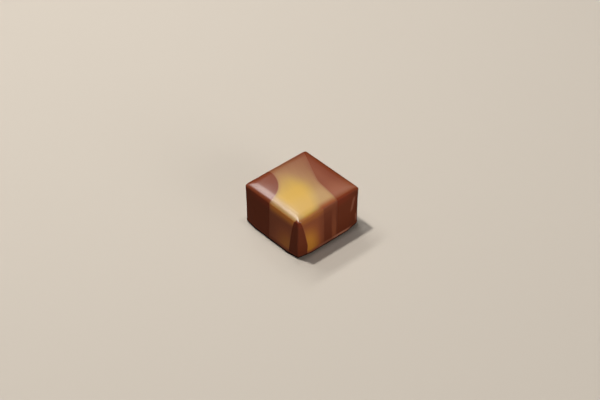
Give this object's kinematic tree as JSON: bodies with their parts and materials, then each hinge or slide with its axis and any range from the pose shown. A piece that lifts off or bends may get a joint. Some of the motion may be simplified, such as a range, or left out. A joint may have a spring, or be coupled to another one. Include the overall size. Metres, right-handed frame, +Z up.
{
  "type": "chocolate praline",
  "caption": "Square moulded chocolate praline with a rounded top edge, pleated corner ridges and a soft yellow swath over the dark shell.",
  "frame": {"origin": "middle of the flat base, on the surface that the praline stands on", "axes": "+Z up through the middle of the top, X and Y square to the walls"},
  "size_m": [0.0252, 0.0248, 0.0154],
  "materials": {
    "chocolate": "satin gloss, with a thin yellow cocoa butter film over part of the top and walls"
  },
  "bodies": {
    "root": {"praline": "chocolate"}
  },
  "joints": []
}
